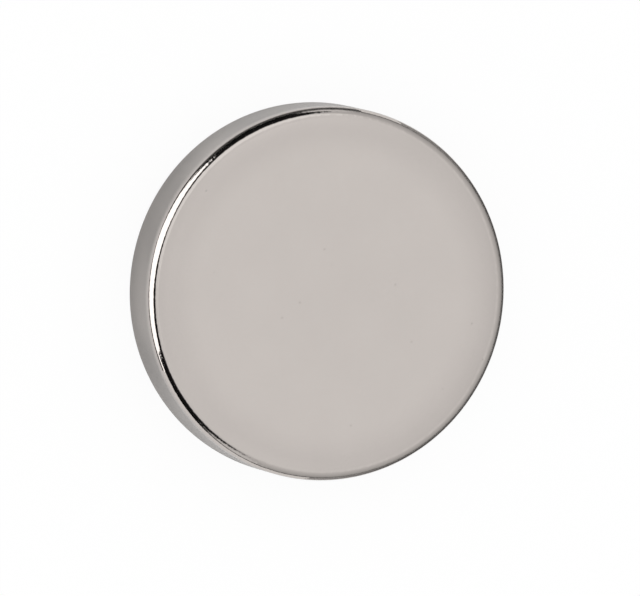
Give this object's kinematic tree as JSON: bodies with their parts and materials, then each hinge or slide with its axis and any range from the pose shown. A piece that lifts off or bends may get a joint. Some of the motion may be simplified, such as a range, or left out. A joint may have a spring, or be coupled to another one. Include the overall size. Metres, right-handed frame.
{
  "type": "disc magnet",
  "caption": "Flat round permanent magnet with rounded edges and a bright nickel finish, magnetised through its thickness, for holding, latching and sensing.",
  "frame": {"origin": "centre of the lower pole face, on which the disc rests", "axes": "+Z along the disc's axis, through its thickness, towards the upper pole face; X and Y are alike, because the disc is round"},
  "size_m": [0.02, 0.02, 0.004],
  "materials": {
    "nickel_plating": "gloss"
  },
  "bodies": {
    "root": {"disc_magnet": "nickel_plating"}
  },
  "joints": []
}
